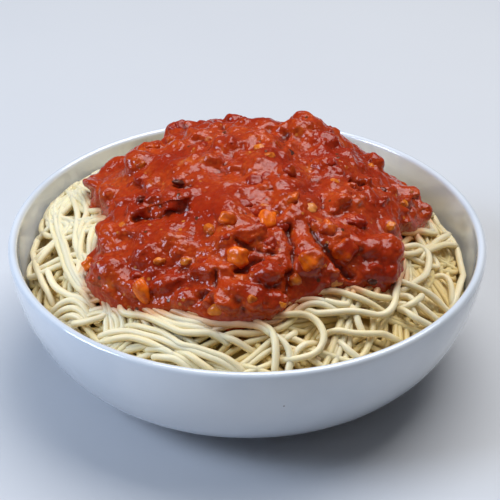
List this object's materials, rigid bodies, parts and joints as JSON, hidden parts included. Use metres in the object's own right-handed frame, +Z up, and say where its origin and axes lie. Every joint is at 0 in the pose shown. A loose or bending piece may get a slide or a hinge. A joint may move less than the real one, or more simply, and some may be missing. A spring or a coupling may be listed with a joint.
{
  "type": "spaghetti bolognese in a bowl",
  "caption": "Round white glazed bowl heaped with cooked spaghetti, with a thick lumpy tomato sauce domed over the middle.",
  "frame": {"origin": "middle of the underside of the foot ring, on the surface that the bowl stands on", "axes": "+Z up, -Y towards the side that the picture shows in front, +X to the right as seen from the front"},
  "size_m": [0.19, 0.19, 0.0922],
  "materials": {
    "glaze": "glossy white glaze",
    "noodle": "moist cooked wheat pasta, soft sheen",
    "tomato_sauce": "wet, glossy, lumpy cooked sauce"
  },
  "bodies": {
    "root": {"bowl": "glaze", "spaghetti": "noodle", "sauce": "tomato_sauce"}
  },
  "joints": []
}
